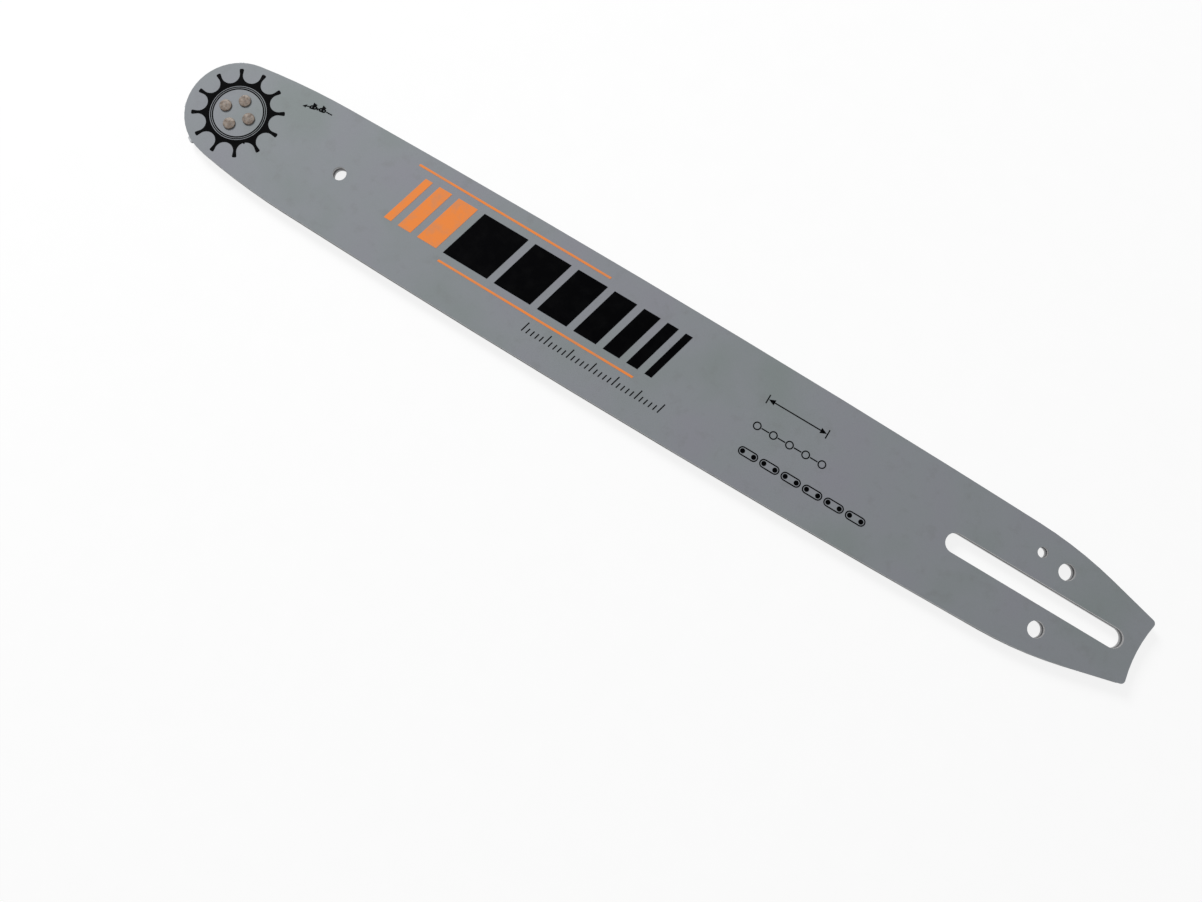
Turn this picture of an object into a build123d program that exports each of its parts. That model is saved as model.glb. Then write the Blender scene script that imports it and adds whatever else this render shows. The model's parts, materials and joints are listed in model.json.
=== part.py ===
"""Laminated chainsaw guide bar with a sprocket nose.

Two side plates are spot welded to a thinner, narrower core plate, so that a groove for the chain's
drive links runs round the edge. In the nose a toothed wheel turns on loose rollers round a fixed
inner race, and four rivets hold the nose together.

X runs along the bar with the nose at +X, Y across it, and Z up through the plates. The origin is
at the middle of the bar's length and width, at the foot of the rivets. Lengths are in
millimetres and angles in degrees.
"""

import os
from math import asin, cos, degrees, floor, radians, sin, sqrt, tan

from build123d import *
from build123d.topology import SkipClean

os.makedirs("parts", exist_ok=True)

# Outline of the side plates
bar_length = 457.0
bar_width = 56.0
nose_set_in = 5.1
flank_radius = 330.0
belly_radius = 6500.0
belly_from_tail = 257.0
shoulder_radius = 160.0
tail_width = 28.2
tail_flank_angle = 14.7
tail_hollow_depth = 1.25
tail_hollow_radius = 60.0
tail_corner_radius = 1.8

# Thickness of the plates and depth of the groove between them
side_plate_thickness = 1.25
core_plate_thickness = 1.35
groove_depth = 5.6
core_tail_gap = 1.0
entry_flare_width = 2.4
entry_flare_depth = 0.45
entry_flare_length = 24.0

# Stud slot, chain adjuster holes and oil hole, placed from the tail end, and the hanging hole
stud_slot_from_tail = 7.4
stud_slot_length = 79.1
stud_slot_width = 8.4
clamp_zone_length = 101.0
adjuster_from_tail = 39.0
adjuster_spacing = 26.4
adjuster_diameter = 7.0
oil_hole_from_tail = 50.8
oil_hole_offset = 15.1
oil_hole_diameter = 4.4
oil_channel_width = 2.4
oil_channel_angle = 62.0
hanging_hole_from_nose = 76.1
hanging_hole_diameter = 6.0

# Nose sprocket
sprocket_teeth = 9
sprocket_reach = 1.0
sprocket_root_radius = 16.3
sprocket_tooth_width = 3.0
sprocket_gullet_radius = 2.6
sprocket_tip_chamfer = 0.5
sprocket_side_clearance = 0.06
sprocket_turn = 21.3
pocket_clearance = 0.7

# Roller bearing of the nose sprocket
race_radius = 9.3
roller_diameter = 3.5
roller_clearance = 0.04
least_roller_gap = 0.03

# Rivets of the nose
rivet_count = 4
rivet_circle_radius = 6.0
rivet_radius = 2.45
rivet_stand_out = 0.55
rivet_clearance = 0.05

# Printed marks on the upper side plate
ink_thickness = 0.05
star_points = 12
star_margin = 2.5
star_root_radius = 14.6
star_point_width = 1.9
star_inner_radius = 12.6
star_gullet_corner = 1.6
stripe_slant = 14.0
stripe_top_offset = 17.4
stripe_height = 23.6
stripe_gap = 3.4
stripes_from_nose = 103.0
orange_stripe_widths = [3.6, 6.4, 9.6]
black_stripe_widths = [22.0, 18.0, 14.5, 11.0, 8.0, 5.4, 3.4]
pinstripe_width = 1.0
pinstripe_length = 96.0
pinstripe_gap = 3.4

# Levels of the plates, from the foot of the rivets upwards
lower_plate_z = rivet_stand_out
core_plate_z = lower_plate_z + side_plate_thickness
upper_plate_z = core_plate_z + core_plate_thickness
top_z = upper_plate_z + side_plate_thickness
middle_z = core_plate_z + core_plate_thickness / 2

# Radii that follow from the width of the bar
nose_radius = bar_width / 2 - nose_set_in
sprocket_tip_radius = nose_radius + sprocket_reach
star_tip_radius = nose_radius - star_margin

# Places along the bar
nose_tip_x = bar_length / 2
nose_x = nose_tip_x - nose_radius
tail_x = nose_tip_x - bar_length
stud_slot_x = tail_x + stud_slot_from_tail + stud_slot_length / 2
clamp_zone_x = tail_x + clamp_zone_length
adjuster_x = tail_x + adjuster_from_tail
oil_hole_x = tail_x + oil_hole_from_tail
hanging_hole_x = nose_tip_x - hanging_hole_from_nose

# Centres of the arcs that follow each other, tangent, along one long edge of the bar
nose_centre = Vector(nose_x, 0)
belly_centre = Vector(tail_x + belly_from_tail, bar_width / 2 - belly_radius)
tail_hollow_centre = Vector(tail_x + tail_hollow_depth - tail_hollow_radius, 0)
tail_corner = Vector(tail_x, tail_width / 2)
tail_flank_direction = Vector(cos(radians(tail_flank_angle)), sin(radians(tail_flank_angle)))
tail_flank_inward = Vector(sin(radians(tail_flank_angle)), -cos(radians(tail_flank_angle)))


def circles_meet(first, first_radius, second, second_radius):
    """Meeting point of two circles, on the left hand of the way from the first to the second."""
    way = second - first
    along = (way.length**2 + first_radius**2 - second_radius**2) / (2 * way.length)
    across = sqrt(first_radius**2 - along**2)
    ahead = way.normalized()
    return first + ahead * along + Vector(-ahead.Y, ahead.X) * across


def line_leaves_circle(start, direction, centre, radius):
    """Point where a line from start along direction last crosses a circle."""
    back = centre - start
    along = back.dot(direction)
    across = direction * along - back
    return start + direction * (along + sqrt(radius**2 - across.length**2))


def angle_of(vector):
    return Vector(1, 0).get_signed_angle(vector, Vector(0, 0, 1))


flank_centre = circles_meet(
    belly_centre, belly_radius - flank_radius, nose_centre, flank_radius - nose_radius
)
shoulder_centre = line_leaves_circle(
    tail_corner + tail_flank_inward * shoulder_radius,
    tail_flank_direction,
    belly_centre,
    belly_radius - shoulder_radius,
)
nose_end_angle = angle_of(nose_centre - flank_centre)
flank_end_angle = angle_of(flank_centre - belly_centre)
belly_end_angle = angle_of(shoulder_centre - belly_centre)
shoulder_end_angle = 90 + tail_flank_angle


def bar_outline(inset, tail_gap):
    """Face inside the bar's long edges by inset and inside its hollow tail end by tail_gap."""
    with BuildSketch() as outline:
        with BuildLine():
            CenterArc(nose_centre, nose_radius - inset, 0, nose_end_angle)
            CenterArc(
                flank_centre, flank_radius - inset, nose_end_angle, flank_end_angle - nose_end_angle
            )
            CenterArc(
                belly_centre, belly_radius - inset, flank_end_angle, belly_end_angle - flank_end_angle
            )
            shoulder = CenterArc(
                shoulder_centre,
                shoulder_radius - inset,
                belly_end_angle,
                shoulder_end_angle - belly_end_angle,
            )
            hollow_radius = tail_hollow_radius + tail_gap
            corner = line_leaves_circle(
                shoulder @ 1 - tail_flank_direction * bar_width,
                tail_flank_direction,
                tail_hollow_centre,
                hollow_radius,
            )
            Line(shoulder @ 1, corner)
            corner_angle = degrees(asin(corner.Y / hollow_radius))
            CenterArc(tail_hollow_centre, hollow_radius, corner_angle, -corner_angle)
            mirror(about=Plane.XZ)
        make_face()
    return outline.sketch


def rivet_holes():
    """Holes of the nose rivets, cut from the sketch being made."""
    with Locations((nose_x, 0)):
        with PolarLocations(rivet_circle_radius, rivet_count):
            Circle(rivet_radius + rivet_clearance, mode=Mode.SUBTRACT)


def through_holes():
    """Stud slot, adjuster holes, oil hole and hanging hole, cut from the sketch being made."""
    with Locations((stud_slot_x, 0)):
        SlotOverall(stud_slot_length, stud_slot_width, mode=Mode.SUBTRACT)
    with Locations((adjuster_x, 0)):
        with GridLocations(0, adjuster_spacing, 1, 2):
            Circle(adjuster_diameter / 2, mode=Mode.SUBTRACT)
    with Locations((oil_hole_x, -oil_hole_offset)):
        Circle(oil_hole_diameter / 2, mode=Mode.SUBTRACT)
    with Locations((hanging_hole_x, 0)):
        Circle(hanging_hole_diameter / 2, mode=Mode.SUBTRACT)


def slanted_bar(from_nose, foot_y, width, height):
    """Printed bar that leans away from the nose, from its foot towards -Y."""
    foot_x = nose_tip_x - from_nose
    lean = height * tan(radians(stripe_slant))
    Polygon(
        (foot_x, foot_y),
        (foot_x - width, foot_y),
        (foot_x - width - lean, foot_y - height),
        (foot_x - lean, foot_y - height),
        align=None,
    )


def star_wheel(teeth, tip_radius, root_radius, tooth_width, bore_radius, soften, gullet_corner):
    """Wheel of straight teeth, its first one along +X. Soften is what eases the gullets' corners."""
    half_pitch = 180 / teeth
    reach = 2 * tip_radius
    tooth_side = tooth_width / 2 / cos(radians(half_pitch))
    root_y = root_radius * tan(radians(half_pitch)) - tooth_side
    reach_y = reach * tan(radians(half_pitch)) - tooth_side
    with BuildSketch() as wheel:
        RegularPolygon(tip_radius, teeth, major_radius=False, rotation=half_pitch)
        with PolarLocations(0, teeth, start_angle=half_pitch):
            Polygon(
                (root_radius, root_y),
                (root_radius, -root_y),
                (reach, -reach_y),
                (reach, reach_y),
                align=None,
                mode=Mode.SUBTRACT,
            )
        soften(vertices().sort_by_distance((0, 0, 0))[: 2 * teeth], gullet_corner)
        Circle(bore_radius, mode=Mode.SUBTRACT)
    return wheel.sketch


# Flares that widen the groove where the chain enters and leaves it, one on each side of the tail
flare_start = tail_corner - tail_flank_direction * entry_flare_width
with BuildPart() as entry_flares:
    with BuildSketch(
        Plane(
            origin=(flare_start.X, flare_start.Y, upper_plate_z),
            x_dir=(tail_flank_inward.X, tail_flank_inward.Y, 0),
            z_dir=(tail_flank_direction.X, tail_flank_direction.Y, 0),
        )
    ):
        Polygon(
            (-entry_flare_width, 0),
            (entry_flare_width, 0),
            (-entry_flare_width, -2 * entry_flare_depth),
            align=None,
        )
    extrude(amount=entry_flare_width + entry_flare_length)
    mirror(about=Plane.XZ)

# Upper side plate, with a flared chain entry. The clamp zone round the slot keeps faces of its own
with SkipClean(), BuildPart() as upper_side_plate:
    with BuildSketch(Plane.XY.offset(upper_plate_z), mode=Mode.PRIVATE) as blank:
        add(bar_outline(0, 0))
        fillet(vertices().group_by(Axis.X)[0], tail_corner_radius)
        through_holes()
        rivet_holes()
    for zone in blank.sketch.split(Plane.YZ.offset(clamp_zone_x), Keep.BOTH):
        extrude(zone, amount=side_plate_thickness)
    add(entry_flares.part, mode=Mode.SUBTRACT)
upper_side_plate.part.label = "upper_side_plate"
export_step(upper_side_plate.part, "parts/upper_side_plate.step")

# Lower side plate: the same blank turned over
with SkipClean(), BuildPart() as lower_side_plate:
    mirror(upper_side_plate.part, about=Plane.XY.offset(middle_z))
lower_side_plate.part.label = "lower_side_plate"
export_step(lower_side_plate.part, "parts/lower_side_plate.step")

# Core plate: narrower by the groove, hollowed round the sprocket, with a channel for the chain oil
pocket_radius = sprocket_tip_radius + pocket_clearance
with BuildPart() as core_plate:
    with BuildSketch(Plane.XY.offset(core_plate_z)):
        add(bar_outline(groove_depth, core_tail_gap))
        with Locations((nose_x, 0)):
            Circle(pocket_radius, mode=Mode.SUBTRACT)
        through_holes()
        with Locations((oil_hole_x, -oil_hole_offset)):
            Rectangle(
                2 * groove_depth,
                oil_channel_width,
                rotation=-oil_channel_angle,
                align=(Align.MIN, Align.CENTER),
                mode=Mode.SUBTRACT,
            )
    extrude(amount=core_plate_thickness)
core_plate.part.label = "core_plate"
export_step(core_plate.part, "parts/core_plate.step")

# Roller bearing: sizes that follow from the race, the rollers and their running clearance
roller_circle_radius = race_radius + roller_clearance + roller_diameter / 2
sprocket_bore_radius = roller_circle_radius + roller_diameter / 2 + roller_clearance
sprocket_thickness = core_plate_thickness - 2 * sprocket_side_clearance
sprocket_z = core_plate_z + sprocket_side_clearance
roller_pitch_angle = 2 * degrees(
    asin((roller_diameter + least_roller_gap) / 2 / roller_circle_radius)
)
roller_count = floor(360 / roller_pitch_angle)

# Nose sprocket: its teeth reach a little past the rails to lift the chain round the nose
with BuildPart() as nose_sprocket:
    with BuildSketch(
        Plane(origin=(nose_x, 0, sprocket_z)).rotated((0, 0, sprocket_turn))
    ):
        add(
            star_wheel(
                sprocket_teeth,
                sprocket_tip_radius,
                sprocket_root_radius,
                sprocket_tooth_width,
                sprocket_bore_radius,
                fillet,
                sprocket_gullet_radius,
            )
        )
    extrude(amount=sprocket_thickness)
    upright_edges = edges().filter_by(Axis.Z).sort_by_distance((nose_x, 0, sprocket_z))
    chamfer(upright_edges[-2 * sprocket_teeth :], sprocket_tip_chamfer)
nose_sprocket.part.label = "nose_sprocket"
export_step(nose_sprocket.part, "parts/nose_sprocket.step")

# Inner race: a plain ring of the core's thickness, held between the side plates by the rivets
with BuildPart() as bearing_race:
    with BuildSketch(Plane.XY.offset(core_plate_z)):
        with Locations((nose_x, 0)):
            Circle(race_radius)
        rivet_holes()
    extrude(amount=core_plate_thickness)
bearing_race.part.label = "bearing_race"
export_step(bearing_race.part, "parts/bearing_race.step")

# Bearing rollers: as many as fit round the race
for number in range(roller_count):
    with BuildPart() as bearing_roller:
        with Locations((nose_x, 0, sprocket_z)):
            with PolarLocations(
                roller_circle_radius, 1, start_angle=number * 360 / roller_count
            ):
                Cylinder(
                    roller_diameter / 2,
                    sprocket_thickness,
                    align=(Align.CENTER, Align.CENTER, Align.MIN),
                )
    bearing_roller.part.label = f"bearing_roller_{number + 1:02d}"
    export_step(bearing_roller.part, f"parts/bearing_roller_{number + 1:02d}.step")

# Nose rivets: pins through both side plates and the race, their formed ends a little proud
with BuildPart() as nose_rivets:
    with BuildSketch():
        with Locations((nose_x, 0)):
            with PolarLocations(rivet_circle_radius, rivet_count):
                Circle(rivet_radius)
    extrude(amount=top_z + rivet_stand_out)
nose_rivets.part.label = "nose_rivets"
export_step(nose_rivets.part, "parts/nose_rivets.step")

# Printed marks: orange stripes that widen, black ones that narrow, and a star round the rivets
stripe_foot_y = stripe_height - stripe_top_offset
orange_run = sum(orange_stripe_widths) + stripe_gap * len(orange_stripe_widths)
black_from_nose = stripes_from_nose + orange_run
with BuildPart() as orange_print:
    with BuildSketch(Plane.XY.offset(top_z)):
        from_nose = stripes_from_nose
        for width in orange_stripe_widths:
            slanted_bar(from_nose, stripe_foot_y, width, stripe_height)
            from_nose += width + stripe_gap
        slanted_bar(
            black_from_nose,
            stripe_foot_y + pinstripe_gap + pinstripe_width,
            pinstripe_length,
            pinstripe_width,
        )
        slanted_bar(
            stripes_from_nose,
            -stripe_top_offset - pinstripe_gap,
            pinstripe_length,
            pinstripe_width,
        )
    extrude(amount=ink_thickness)
orange_print.part.label = "orange_print"
export_step(orange_print.part, "parts/orange_print.step")

with BuildPart() as black_print:
    with BuildSketch(Plane.XY.offset(top_z)):
        from_nose = black_from_nose
        for width in black_stripe_widths:
            slanted_bar(from_nose, stripe_foot_y, width, stripe_height)
            from_nose += width + stripe_gap
        with Locations((nose_x, 0)):
            add(
                star_wheel(
                    star_points,
                    star_tip_radius,
                    star_root_radius,
                    star_point_width,
                    star_inner_radius,
                    chamfer,
                    star_gullet_corner,
                )
            )
    extrude(amount=ink_thickness)
black_print.part.label = "black_print"
export_step(black_print.part, "parts/black_print.step")
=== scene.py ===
"""Looks of the chainsaw guide bar: finishes, print, formed rivet heads, floor, light and camera.

Lengths are written in millimetres, as real sizes, and turned into metres where Blender needs them.
Only the floor and the lamp are given in metres. A place on the bar is its distance from the nose
tip and its offset across the bar, towards +Y.
"""

import json
from math import cos, pi, radians, sin, tan

import bmesh
import bpy
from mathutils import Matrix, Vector


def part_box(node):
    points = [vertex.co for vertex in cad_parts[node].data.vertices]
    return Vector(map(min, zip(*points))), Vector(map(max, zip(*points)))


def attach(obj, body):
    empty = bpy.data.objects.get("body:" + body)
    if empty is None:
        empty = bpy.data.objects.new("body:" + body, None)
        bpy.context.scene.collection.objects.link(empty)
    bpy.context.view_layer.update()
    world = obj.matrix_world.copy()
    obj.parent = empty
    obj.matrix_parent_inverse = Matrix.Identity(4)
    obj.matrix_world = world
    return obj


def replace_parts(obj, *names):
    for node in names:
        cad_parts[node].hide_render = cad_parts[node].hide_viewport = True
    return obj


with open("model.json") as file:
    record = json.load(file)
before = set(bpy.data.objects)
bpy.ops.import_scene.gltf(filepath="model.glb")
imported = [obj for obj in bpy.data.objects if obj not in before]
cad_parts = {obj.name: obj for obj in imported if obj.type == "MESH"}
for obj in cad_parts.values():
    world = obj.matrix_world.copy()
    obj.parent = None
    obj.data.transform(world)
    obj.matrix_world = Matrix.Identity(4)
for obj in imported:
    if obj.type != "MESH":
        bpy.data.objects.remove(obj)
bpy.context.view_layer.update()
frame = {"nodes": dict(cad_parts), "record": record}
nodes = frame["nodes"]

MM = 0.001

# Places and heights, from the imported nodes

NOSE_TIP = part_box("upper_side_plate")[1].x / MM
NOSE_CENTRE = (sum(corner.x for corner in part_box("bearing_race")) / 2 / MM, 0)
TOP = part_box("upper_side_plate")[1].z / MM
INK_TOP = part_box("black_print")[1].z / MM
RIVET_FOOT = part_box("nose_rivets")[0].z / MM
RIVET_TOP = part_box("nose_rivets")[1].z / MM

# Scale of a streak's noise along each axis, which draws it out where it is small

ALONG_BAR = (0.03, 1.0, 1.0)
ROUND_EDGE = (0.03, 0.03, 1.0)
UPRIGHT = (1.0, 1.0, 0.08)

# Sizes of the print

INK_LINE = 0.5
INK_GAP = 0.1
PRINT_SLANT = 14.0  # degrees
STAR_REGISTER = 0.4  # how far the star is printed off the nose centre, towards the tail
STAR_RINGS = (12.4, 12.08, 11.6, 11.32, 10.75)  # the star's inner edge, then those of two rings
STRIPE_WIDTHS = (22.0, 18.0, 14.5, 11.0, 8.0, 5.4, 3.4)  # from the nose to the tail
MARKS_FROM_NOSE = 281.0
SPECK = (33.35, 10.1)  # a little stray ink in one of the star's gullets

# White of the floor and the world

WHITE = (1.0, 1.0, 1.0, 1.0)
FLOOR_GLOW = 0.84  # share of plain white in the floor near the bar, which leaves a faint shadow
WHITE_FLOOR_SPAN = (0.6, 2.4)  # metres from the bar's middle over which the floor turns all white


# Materials


def srgb(red, green, blue):
    """Linear colour of an 8 bit sRGB one."""

    def linear(value):
        value /= 255
        return value / 12.92 if value <= 0.04045 else ((value + 0.055) / 1.055) ** 2.4

    return (linear(red), linear(green), linear(blue), 1.0)


class Finish:
    """A material and short calls for the nodes that its finish is made of."""

    def __init__(self, name, roughness, metallic=0.0, specular=0.5):
        self.material = bpy.data.materials.new(name)
        self.material.use_nodes = True
        self.tree = self.material.node_tree
        self.shader = self.tree.nodes["Principled BSDF"]
        self.shader.inputs["Roughness"].default_value = roughness
        self.shader.inputs["Metallic"].default_value = metallic
        self.shader.inputs["Specular IOR Level"].default_value = specular
        self.place = self.tree.nodes.new("ShaderNodeTexCoord").outputs["Object"]

    def link(self, source, target):
        """Joins an output socket to an input socket."""
        self.tree.links.new(source, target)

    def feed(self, value, target):
        """Gives an input socket its value, from another socket or as a plain number or colour."""
        if isinstance(value, bpy.types.NodeSocket):
            self.link(value, target)
        else:
            target.default_value = value

    def shade(self, key, socket):
        """Links a socket to the shader's input of that name."""
        self.link(socket, self.shader.inputs[key])

    def stretched(self, x, y, z):
        """Object coordinates scaled along each axis."""
        mapping = self.tree.nodes.new("ShaderNodeMapping")
        mapping.inputs["Scale"].default_value = (x, y, z)
        self.link(self.place, mapping.inputs["Vector"])
        return mapping.outputs["Vector"]

    def noise(self, size, detail=2.0, rough=0.5, place=None):
        """Noise whose blotches are about size millimetres across."""
        node = self.tree.nodes.new("ShaderNodeTexNoise")
        node.inputs["Scale"].default_value = 1 / (size * MM)
        node.inputs["Detail"].default_value = detail
        node.inputs["Roughness"].default_value = rough
        self.link(place or self.place, node.inputs["Vector"])
        return node.outputs["Fac"]

    def ramp(self, value, *stops):
        """Colour ramp with (position, colour) stops."""
        node = self.tree.nodes.new("ShaderNodeValToRGB")
        elements = node.color_ramp.elements
        while len(elements) < len(stops):
            elements.new(0.5)
        for element, (position, colour) in zip(elements, stops):
            element.position = position
            element.color = colour
        self.link(value, node.inputs["Fac"])
        return node.outputs["Color"]

    def level(self, value, low, high, to_low=0.0, to_high=1.0):
        """The value carried from low..high to to_low..to_high, and held there outside."""
        node = self.tree.nodes.new("ShaderNodeMapRange")
        node.inputs["From Min"].default_value = low
        node.inputs["From Max"].default_value = high
        node.inputs["To Min"].default_value = to_low
        node.inputs["To Max"].default_value = to_high
        self.link(value, node.inputs["Value"])
        return node.outputs["Result"]

    def mixed(self, factor, first, second):
        """First colour turned into the second by a factor, each a socket or a plain value."""
        node = self.tree.nodes.new("ShaderNodeMix")
        node.data_type = "RGBA"
        sockets = {socket.identifier: socket for socket in node.inputs}
        self.feed(factor, sockets["Factor_Float"])
        self.feed(first, sockets["A_Color"])
        self.feed(second, sockets["B_Color"])
        return next(socket for socket in node.outputs if socket.identifier == "Result_Color")

    def between(self, factor, first, second):
        """Number that goes from the first socket's to the second's as the factor rises."""
        node = self.tree.nodes.new("ShaderNodeMapRange")
        self.link(factor, node.inputs["Value"])
        self.link(first, node.inputs["To Min"])
        self.link(second, node.inputs["To Max"])
        return node.outputs["Result"]

    def maths(self, operation, first, second=0.0):
        """Result of an operation on two numbers, each a socket or a plain value."""
        node = self.tree.nodes.new("ShaderNodeMath")
        node.operation = operation
        self.feed(first, node.inputs[0])
        self.feed(second, node.inputs[1])
        return node.outputs["Value"]

    def normal_z(self):
        """How far the surface faces up or down, from 0 on an upright wall to 1 on a flat face."""
        geometry = self.tree.nodes.new("ShaderNodeNewGeometry")
        split = self.tree.nodes.new("ShaderNodeSeparateXYZ")
        self.link(geometry.outputs["True Normal"], split.inputs["Vector"])
        return self.maths("ABSOLUTE", split.outputs["Z"])

    def bump(self, height, depth):
        """Relief of depth millimetres from a height value."""
        node = self.tree.nodes.new("ShaderNodeBump")
        node.inputs["Distance"].default_value = depth * MM
        self.link(height, node.inputs["Height"])
        self.shade("Normal", node.outputs["Normal"])


def plate_finish():
    """Satin silver grey paint on the flat faces, and ground bare steel on the upright edges."""
    finish = Finish("plate_finish", roughness=0.55, specular=0.2)
    blotches = finish.noise(38.0, detail=3.0)
    paint = finish.ramp(
        blotches,
        (0.32, srgb(125, 132, 132)),
        (0.5, srgb(131, 135, 139)),
        (0.68, srgb(132, 133, 140)),
    )
    smudges = finish.noise(6.0, detail=4.0, rough=0.6)
    smudged = finish.level(smudges, 0.55, 0.75, to_high=0.4)
    paint = finish.mixed(smudged, paint, srgb(118, 120, 121))
    grain = finish.noise(0.45, detail=3.0, rough=0.7)
    grained = finish.level(grain, 0.35, 0.65, to_high=0.1)
    paint = finish.mixed(grained, paint, srgb(112, 116, 119))
    streaks = finish.noise(0.35, detail=3.0, place=finish.stretched(*ROUND_EDGE))
    steel = finish.ramp(
        streaks,
        (0.3, srgb(132, 132, 133)),
        (0.55, srgb(158, 158, 159)),
        (0.75, srgb(178, 178, 178)),
    )
    flat = finish.level(finish.normal_z(), 0.3, 0.8)
    finish.shade("Base Color", finish.mixed(flat, steel, paint))
    painted = finish.level(grain, 0.3, 0.7, 0.64, 0.78)
    ground = finish.level(streaks, 0.3, 0.7, 0.28, 0.4)
    finish.shade("Roughness", finish.between(flat, ground, painted))
    finish.shade("Metallic", finish.level(flat, 0.0, 1.0, 0.85, 0.0))
    finish.bump(grain, 0.012)
    return finish.material


def steel_finish(name, dark, light, roughness, stretch):
    """Bare steel with fine streaks and a few darker stains."""
    finish = Finish(name, roughness=roughness, metallic=0.7)
    streaks = finish.noise(0.3, detail=3.0, place=finish.stretched(*stretch))
    stains = finish.noise(9.0, detail=4.0, rough=0.6)
    bare = finish.ramp(streaks, (0.3, dark), (0.7, light))
    stained = finish.level(stains, 0.5, 0.75, to_high=0.5)
    finish.shade("Base Color", finish.mixed(stained, bare, dark))
    dull = finish.level(stains, 0.35, 0.65, roughness - 0.07, roughness + 0.1)
    finish.shade("Roughness", dull)
    finish.bump(streaks, 0.01)
    return finish.material


def rivet_finish():
    """Warm, dull rivet steel with dents of the riveting tool and rests of the plate's paint."""
    finish = Finish("rivet_steel", roughness=0.6, metallic=0.1, specular=0.2)
    dents = finish.noise(1.3)
    rests = finish.noise(0.8, rough=0.6)
    steel = finish.ramp(
        dents,
        (0.3, srgb(88, 77, 68)),
        (0.5, srgb(112, 99, 89)),
        (0.7, srgb(128, 117, 107)),
    )
    painted = finish.level(rests, 0.48, 0.68, to_high=0.5)
    finish.shade("Base Color", finish.mixed(painted, steel, srgb(116, 117, 116)))
    finish.shade("Roughness", finish.level(dents, 0.3, 0.7, 0.65, 0.5))
    finish.bump(dents, 0.04)
    return finish.material


def ink_finish(name, thin, full, roughness=0.6):
    """Screen printed ink: nearly even, a little thinner in places, with a fine tooth."""
    finish = Finish(name, roughness=roughness, specular=0.015)
    cover = finish.noise(6.0, detail=5.0, rough=0.65)
    tooth = finish.noise(0.35)
    tone = finish.ramp(cover, (0.3, thin), (0.55, full))
    worn = finish.level(tooth, 0.62, 0.75, to_high=0.35)
    finish.shade("Base Color", finish.mixed(worn, tone, thin))
    dull = finish.level(tooth, 0.3, 0.7, roughness - 0.06, roughness + 0.08)
    finish.shade("Roughness", dull)
    finish.bump(tooth, 0.006)
    return finish.material


def seen_directly(tree):
    """1 for the camera's own rays and what metal and glass show, 0 for light between surfaces."""
    rays = tree.nodes.new("ShaderNodeLightPath")
    seen = rays.outputs["Is Camera Ray"]
    for kind in ("Is Glossy Ray", "Is Transmission Ray"):
        either = tree.nodes.new("ShaderNodeMath")
        either.operation = "MAXIMUM"
        tree.links.new(seen, either.inputs[0])
        tree.links.new(rays.outputs[kind], either.inputs[1])
        seen = either.outputs["Value"]
    return seen


def blend_shaders(tree, share, first, second, output):
    """Surface of an output node: the first shader, turned into the second by a share."""
    blend = tree.nodes.new("ShaderNodeMixShader")
    tree.links.new(share, blend.inputs["Fac"])
    tree.links.new(first, blend.inputs[1])
    tree.links.new(second, blend.inputs[2])
    tree.links.new(blend.outputs["Shader"], tree.nodes[output].inputs["Surface"])


def floor_finish():
    """White floor that keeps a faint shadow of the bar, and glows fully white far from it."""
    finish = Finish("floor_white", roughness=0.9, specular=0.0)
    tree = finish.tree
    white = finish.ramp(finish.noise(12.0), (0.3, srgb(243, 243, 243)), (0.7, srgb(247, 247, 247)))
    finish.shade("Base Color", white)
    glow = tree.nodes.new("ShaderNodeEmission")
    glow.inputs["Strength"].default_value = 1.0
    distance = tree.nodes.new("ShaderNodeVectorMath")
    distance.operation = "LENGTH"
    finish.link(finish.place, distance.inputs[0])
    glowing = finish.level(distance.outputs["Value"], *WHITE_FLOOR_SPAN, FLOOR_GLOW, 1.0)
    share = finish.maths("MULTIPLY", seen_directly(tree), glowing)
    lit = finish.shader.outputs["BSDF"]
    blend_shaders(tree, share, lit, glow.outputs["Emission"], "Material Output")
    return finish.material


finishes = {
    "plate_finish": plate_finish(),
    "core_steel": steel_finish(
        "core_steel", srgb(58, 58, 60), srgb(98, 98, 99), roughness=0.5, stretch=ALONG_BAR
    ),
    "sprocket_steel": steel_finish(
        "sprocket_steel", srgb(110, 112, 114), srgb(150, 152, 154), roughness=0.4, stretch=UPRIGHT
    ),
    "bearing_steel": steel_finish(
        "bearing_steel", srgb(120, 120, 122), srgb(168, 168, 168), roughness=0.25, stretch=UPRIGHT
    ),
    "rivet_steel": rivet_finish(),
    "black_ink": ink_finish("black_ink", thin=srgb(6, 6, 7), full=srgb(1, 1, 2)),
    "orange_ink": ink_finish("orange_ink", thin=srgb(208, 136, 92), full=srgb(230, 135, 69)),
}
slot_of = {part["node"]: part["material_slot"] for part in frame["record"]["subparts"]}
for name, node in nodes.items():
    node.data.materials.clear()
    node.data.materials.append(finishes[slot_of[name]])


def ease_edges(node, width, same_point=0.001):
    """Joins the corners of a stamped or ground piece, and rounds its sharp edges a little."""
    weld = node.modifiers.new("joined_corners", "WELD")
    weld.merge_threshold = same_point * MM
    bevel = node.modifiers.new("eased_edges", "BEVEL")
    bevel.width = width * MM
    bevel.segments = 2
    bevel.limit_method = "ANGLE"
    bevel.angle_limit = radians(40)
    bevel.harden_normals = True


for name in ("upper_side_plate", "lower_side_plate", "nose_sprocket", "core_plate"):
    ease_edges(nodes[name], width=0.12)


# Outlines


def arc(centre, radius, start, sweep, steps):
    """Points along an arc, with both its ends."""
    turns = [start + sweep * step / steps for step in range(steps + 1)]
    return [(centre[0] + radius * cos(turn), centre[1] + radius * sin(turn)) for turn in turns]


def circle(centre, radius, sides):
    """Closed circle made of straight sides."""
    return arc(centre, radius, 0.0, 2 * pi, sides)[:-1]


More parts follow.
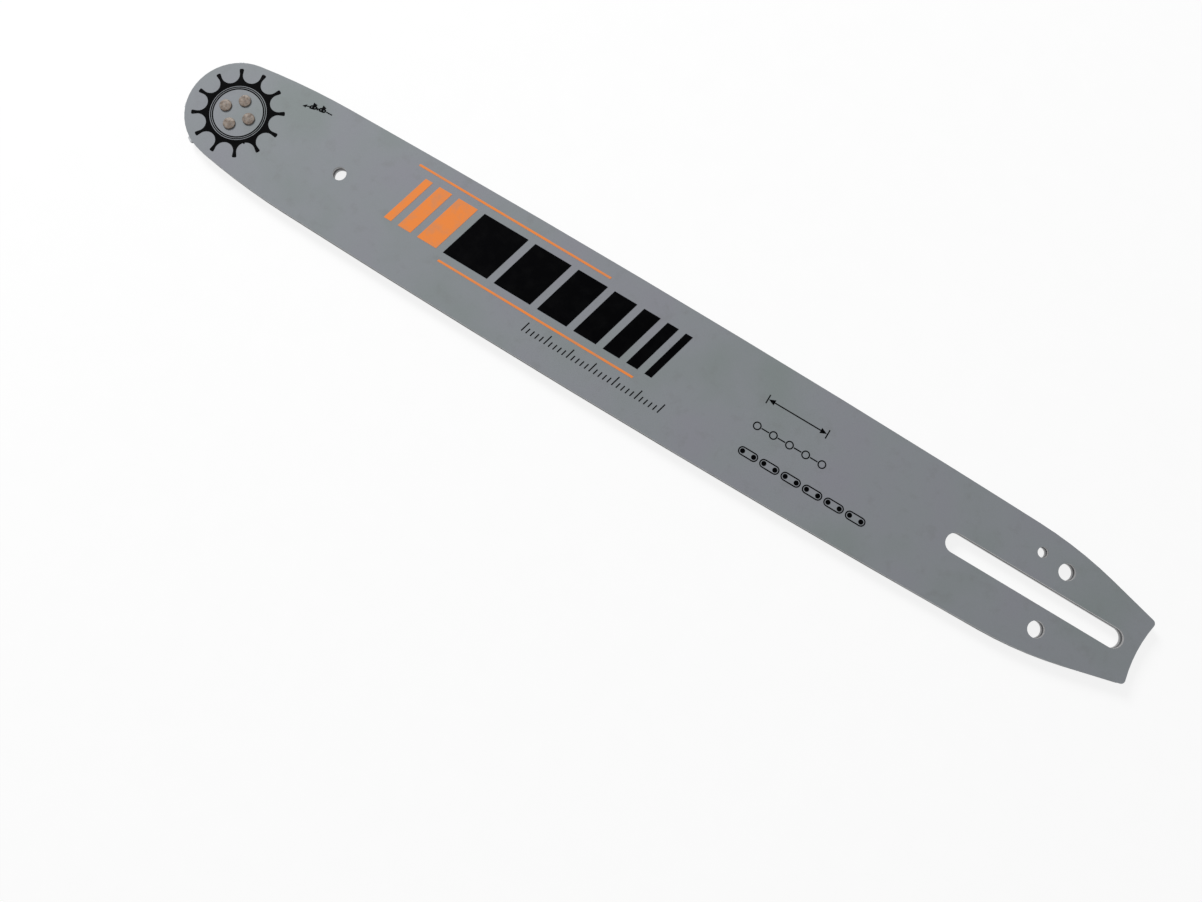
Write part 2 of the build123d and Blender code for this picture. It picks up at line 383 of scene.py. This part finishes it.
def capsule(start, end, radius, sides=12):
    """Rounded link outline round two pin centres."""
    way = Vector(end) - Vector(start)
    heading = way.angle_signed(Vector((1, 0)))
    return [
        *arc(start, radius, heading + pi / 2, pi, sides),
        *arc(end, radius, heading - pi / 2, pi, sides),
    ]


def stroke(start, end, width):
    """Straight line of a width, with square ends."""
    way = Vector(end) - Vector(start)
    side = Vector((-way.y, way.x)).normalized() * width / 2
    corners = (Vector(start) + side, Vector(start) - side, Vector(end) - side, Vector(end) + side)
    return [tuple(corner) for corner in corners]


def arrow_head(tip, length, half_width, way):
    """Triangle with its tip at a point. Way is 1 when it points away from the nose."""
    base = tip[0] - way * length
    return [tip, (base, tip[1] - half_width), (base, tip[1] + half_width)]


def turned(points, turn, centre):
    """Points about the origin, turned and then carried to a centre."""
    return [
        (centre[0] + x * cos(turn) - y * sin(turn), centre[1] + x * sin(turn) + y * cos(turn))
        for x, y in points
    ]


def star_outline(centre, points, tip_radius, root_radius, waist, tip_width, tip_bevel):
    """Star of thin points with bevelled tips, and round gullets between them."""
    half_pitch = pi / points
    half_tip = tip_width / 2
    shoulder = tip_radius - tip_bevel
    tip = [
        (shoulder, -half_tip),
        (tip_radius, tip_bevel - half_tip),
        (tip_radius, half_tip - tip_bevel),
        (shoulder, half_tip),
    ]
    gullet_radius = (root_radius * sin(half_pitch) - waist / 2) / (1 - sin(half_pitch))
    gullet_centre = (root_radius + gullet_radius, 0)
    sweep = 2 * half_pitch - pi
    gullet = arc(gullet_centre, gullet_radius, -pi / 2 - half_pitch, sweep, steps=12)
    outline = []
    for number in range(points):
        turn = 2 * half_pitch * number
        outline += turned(tip, turn, centre)
        outline += turned(gullet, turn + half_pitch, centre)
    return outline


# Marks, by distance from the nose tip and offset across


def stripe_row(from_nose, foot, widths, gap, height, slant):
    """Row of bars whose heads lean away from the nose."""
    lean = height * tan(radians(slant))
    head = foot - height
    stripes = []
    for width in widths:
        end = from_nose + width
        sides = [(from_nose, foot), (end, foot)]
        stripes.append([*sides, (end + lean, head), (from_nose + lean, head)])
        from_nose = end + gap
    return stripes


def tick_row(from_nose, foot, height, pitch, count, width, slant):
    """Row of slanted ticks, every fifth one taller."""
    lean = tan(radians(slant))
    short = 0.55 * height
    ticks = []
    for number in range(count):
        tall = short if number % 5 else height
        start = (from_nose + number * pitch, foot)
        ticks.append(stroke(start, (start[0] + tall * lean, foot - tall), width))
    return ticks


def length_mark(from_nose, across, length, height, width):
    """Dimension line: a line between two ticks, with an arrow head at each end."""
    end = from_nose + length
    upper = across - height / 2
    lower = across + height / 2
    head = 0.7 * height
    half_head = 0.3 * height
    line_end = head + 4 * INK_GAP
    return [
        stroke((from_nose, upper), (from_nose, lower), width),
        stroke((end, upper), (end, lower), width),
        arrow_head((from_nose + width / 2 + INK_GAP, across), head, half_head, -1),
        arrow_head((end - width / 2 - INK_GAP, across), head, half_head, 1),
        stroke((from_nose + line_end, across), (end - line_end, across), width),
    ]


def pin_mark(from_nose, across, pitch, count, height, width):
    """Row of pins joined by short lines."""
    radius = height / 2
    reach = radius + width / 2
    shapes = []
    for number in range(count):
        pin = from_nose + radius + number * pitch
        for edge in (radius, radius - width):
            shapes.append(circle((pin, across), edge, sides=24))
        if number:
            shapes.append(stroke((pin - pitch + reach, across), (pin - reach, across), width))
    return shapes


def chain_mark(from_nose, across, pitch, count, height, width):
    """Run of outlined links, each with its two pins."""
    radius = height / 2
    pin_radius = 0.28 * height
    spacing = pitch + height + 2 * width
    shapes = []
    for number in range(count):
        first = (from_nose + radius + number * spacing, across)
        last = (first[0] + pitch, across)
        for edge in (radius, radius - width):
            shapes.append(capsule(first, last, edge))
        for pin in (first, last):
            shapes.append(circle(pin, pin_radius, sides=16))
    return shapes


def cutter_link(start, end, radius, sides=8):
    """Link whose back rises to a cutting tooth, sharp towards its start."""
    outline = capsule(start, end, radius, sides)
    tip_height = 2.4 * radius
    tip_overhang = 0.2 * radius
    heel_height = 1.6 * radius
    heel_overhang = 0.3 * radius
    tip = (start[0] - tip_overhang, start[1] - tip_height)
    heel = (end[0] + heel_overhang, end[1] - heel_height)
    return [*outline[: sides + 1], tip, heel, *outline[sides + 1 :]]


def direction_mark(from_nose, across, slope, bend):
    """Two cutting links behind an arrow head that points to the nose, on a slight arc."""
    head = 1.6
    half_head = 0.8
    radius = 0.95
    pin_radius = 0.27 * radius
    pin_gap = 1.4
    first = 3.85
    second = first + 4.1
    reach = pin_gap + radius
    strap_across = 0.3
    strap_start = (first + reach + INK_GAP / 2, strap_across)
    strap_end = (second - radius - INK_GAP / 2, strap_across)
    end = 13.4
    shapes = [
        arrow_head((0, 0), head, half_head, -1),
        stroke((head + INK_GAP, 0), (first - radius - INK_GAP, 0), INK_LINE),
        stroke(strap_start, strap_end, 2 * INK_LINE),
        stroke((second + reach + 2 * INK_GAP, 0), (end, 0), INK_LINE),
    ]
    for start in (first, second):
        pins = ((start, 0), (start + pin_gap, 0))
        shapes.append(cutter_link(*pins, radius))
        for pin in pins:
            shapes.append(circle(pin, pin_radius, sides=12))
    return [
        [(from_nose + x, across + y - slope * x + bend * x**2) for x, y in shape]
        for shape in shapes
    ]


# Pieces


def placed(name, data):
    """New object of some data, in the scene."""
    made = bpy.data.objects.new(name, data)
    bpy.context.scene.collection.objects.link(made)
    return made


def piece(name, mesh, slot, body):
    """Object of a mesh that rides on a body and has the finish of a material slot."""
    made = placed(name, mesh)
    mesh.materials.clear()
    mesh.materials.append(finishes[slot])
    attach(made, body)
    return made


def on_bar(shapes):
    """Shapes given by distance from the nose tip and offset across, in the bar's frame."""
    return [[(NOSE_TIP - from_nose, across) for from_nose, across in shape] for shape in shapes]


def printed(name, outlines, slot):
    """Film of ink on the upper side plate. An outline inside another one is a hole."""
    curve = bpy.data.curves.new(name, "CURVE")
    curve.dimensions = "2D"
    curve.fill_mode = "BOTH"
    curve.extrude = (INK_TOP - TOP) / 2 * MM
    for outline in outlines:
        spline = curve.splines.new("POLY")
        spline.points.add(len(outline) - 1)
        for point, (x, y) in zip(spline.points, outline):
            point.co = (x * MM, y * MM, 0, 1)
        spline.use_cyclic_u = True
    drawn = placed(name + "_curve", curve)
    bpy.context.view_layer.update()
    filled = drawn.evaluated_get(bpy.context.evaluated_depsgraph_get())
    mesh = bpy.data.meshes.new_from_object(filled)
    bpy.data.objects.remove(drawn)
    mesh.name = name
    for vertex in mesh.vertices:
        vertex.co.z += (TOP + INK_TOP) / 2 * MM
    return piece(name, mesh, slot, "bar")


# Printed marks

star_centre = (NOSE_CENTRE[0] - STAR_REGISTER, 0)
star = star_outline(
    star_centre,
    points=12,
    tip_radius=20.3,
    root_radius=14.1,
    waist=1.3,
    tip_width=1.95,
    tip_bevel=0.4,
)
star_rings = [circle(star_centre, radius, sides=96) for radius in STAR_RINGS]
stripes = stripe_row(
    from_nose=132.8, foot=6.2, widths=STRIPE_WIDTHS, gap=3.4, height=23.6, slant=PRINT_SLANT
)
printed_star = printed("printed_star", [star, *star_rings], "black_ink")
printed_stripes = printed("printed_stripes", on_bar(stripes), "black_ink")
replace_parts(printed_star, "black_print")
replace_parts(printed_stripes, "black_print")

ticks = tick_row(
    from_nose=179.0, foot=17.4, height=4.6, pitch=2.2, count=31, width=INK_LINE, slant=PRINT_SLANT
)
small_marks = [
    *direction_mark(from_nose=45.1, across=-17.4, slope=0.45, bend=0.0175),
    *ticks,
    *length_mark(MARKS_FROM_NOSE, across=-11.4, length=28.0, height=4.0, width=INK_LINE),
    *pin_mark(MARKS_FROM_NOSE, across=0.6, pitch=7.6, count=5, height=3.6, width=INK_LINE),
    *chain_mark(MARKS_FROM_NOSE, across=12.6, pitch=5.2, count=6, height=3.8, width=INK_LINE),
    circle(SPECK, radius=0.35, sides=12),
]
printed("printed_small_marks", on_bar(small_marks), "black_ink")


# Nose rivets


def rivet_profile(shank_radius, head_radius, rim, seat=0.02, steps=10):
    """Half section of a rivet, from its lower middle to its upper middle.

    Each end is a domed head, sunk into the plate by the seat. Its dome starts at the rim, which is
    that far above the plate.
    """
    crown = RIVET_TOP - TOP - rim
    upper = [(shank_radius, TOP - seat), (head_radius, TOP - seat)]
    for step in range(steps, -1, -1):
        share = step / steps
        upper.append((head_radius * share, RIVET_TOP - crown * share**3))
    lower = [(across, RIVET_TOP + RIVET_FOOT - z) for across, z in reversed(upper)]
    return lower + upper


def turn_section(builder, section, centre, sides):
    """Adds a half section turned about an upright axis, on which both its ends lie."""
    rings = []
    for radius, z in section:
        ring = circle(centre, radius, sides) if radius else [centre]
        rings.append([builder.verts.new((x * MM, y * MM, z * MM)) for x, y in ring])
    for lower, upper in zip(rings, rings[1:]):
        for side in range(sides):
            places = ((lower, side), (lower, side + 1), (upper, side + 1), (upper, side))
            corners = [ring[place % len(ring)] for ring, place in places]
            builder.faces.new(list(dict.fromkeys(corners)))


def nose_rivets(
    count=4, circle_radius=6.0, shank_radius=2.45, head_radius=2.65, rim=0.38, sides=48
):
    """Rivets round the nose centre, with heads formed to low domes."""
    mesh = bpy.data.meshes.new("rivet_heads")
    builder = bmesh.new()
    profile = rivet_profile(shank_radius, head_radius, rim)
    for centre in circle(NOSE_CENTRE, circle_radius, count):
        turn_section(builder, profile, centre, sides)
    builder.to_mesh(mesh)
    builder.free()
    for face in mesh.polygons:
        face.use_smooth = True
    return piece("rivet_heads", mesh, "rivet_steel", "bar")


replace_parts(nose_rivets(), "nose_rivets")


# Floor, light and camera


def floor(radius):
    """Round floor, in metres, that the bar lies in the middle of."""
    mesh = bpy.data.meshes.new("floor")
    builder = bmesh.new()
    rim = circle((0, 0), radius, sides=128)
    builder.faces.new([builder.verts.new((x, y, 0)) for x, y in rim])
    builder.to_mesh(mesh)
    builder.free()
    mesh.materials.append(floor_finish())
    made = placed("floor", mesh)


def world_light(strength):
    """Even light from all round, white where the camera or a reflection sees it."""
    world = bpy.data.worlds.new("studio")
    world.use_nodes = True
    tree = world.node_tree
    even = tree.nodes["Background"]
    white = tree.nodes.new("ShaderNodeBackground")
    for background, power in ((even, strength), (white, 1.0)):
        background.inputs["Color"].default_value = WHITE
        background.inputs["Strength"].default_value = power
    shaders = (even.outputs["Background"], white.outputs["Background"])
    blend_shaders(tree, seen_directly(tree), *shaders, "World Output")
    bpy.context.scene.world = world


def soft_lamp(name, place, target, width, watts):
    """Square area lamp in metres, aimed at a target."""
    lamp = bpy.data.lights.new(name, "AREA")
    lamp.shape = "SQUARE"
    lamp.size = width
    lamp.energy = watts
    made = placed(name, lamp)
    made.location = place
    made.rotation_euler = (Vector(target) - Vector(place)).to_track_quat("-Z", "Y").to_euler()


def photo_camera(lens, place, turn):
    """The photograph's camera, fitted to the bar's outline. The turn is in degrees."""
    camera = bpy.data.cameras.new("photo_camera")
    camera.sensor_fit = "HORIZONTAL"
    camera.sensor_width = 36.0
    camera.lens = lens
    camera.clip_start = 0.01
    camera.clip_end = 20.0
    made = placed("photo_camera", camera)
    made.location = Vector(place) * MM
    made.rotation_euler = [radians(angle) for angle in turn]
    bpy.context.scene.camera = made


floor(radius=7.0)
world_light(strength=0.36)
soft_lamp("key_lamp", place=(1.35, -0.8, 0.95), target=(0.0, 0.0, 0.0), width=0.6, watts=38.5)
photo_camera(lens=26.255, place=(-32.18, 82.15, TOP + 354.45), turn=(7.6136, 0.3543, -148.2848))
bpy.context.scene.view_settings.view_transform = "Standard"
